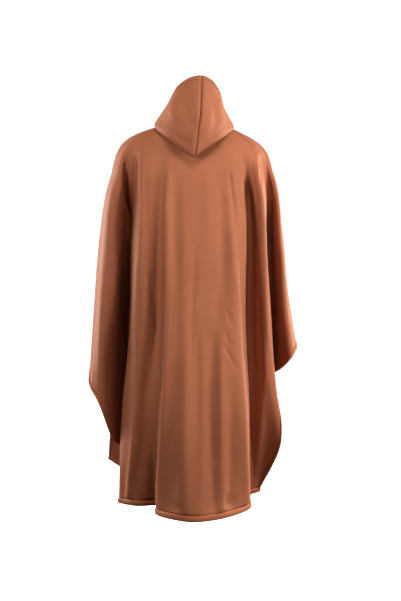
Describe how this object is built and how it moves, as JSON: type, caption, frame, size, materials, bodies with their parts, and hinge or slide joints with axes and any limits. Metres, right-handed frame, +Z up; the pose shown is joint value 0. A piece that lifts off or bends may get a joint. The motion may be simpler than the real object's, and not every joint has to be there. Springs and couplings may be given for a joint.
{
  "type": "hooded farwa cloak",
  "caption": "Wide open-fronted hooded cloak in worn form: broad sleeve wings, deep side folds, open sides with bound edges and a folded-down hood.",
  "frame": {"origin": "middle of the neck opening at shoulder height, where the wearer's shoulders carry the cloak", "axes": "+Z up, +Y the way the wearer faces, +X to the wearer's right"},
  "size_m": [0.7458, 0.5578, 1.5168],
  "materials": {
    "bonded_knit": "smooth copper-brown knit with a soft satin sheen",
    "edge_band": "the same knit folded into a padded band"
  },
  "bodies": {
    "root": {"back_panel": "bonded_knit", "front_left_panel": "bonded_knit", "front_right_panel": "bonded_knit", "hood_left": "bonded_knit", "hood_right": "bonded_knit", "back_hem_band": "edge_band", "back_left_side_band": "edge_band", "back_right_side_band": "edge_band", "front_left_side_band": "edge_band", "front_left_hem_band": "edge_band", "front_right_side_band": "edge_band", "front_right_hem_band": "edge_band"}
  },
  "joints": []
}
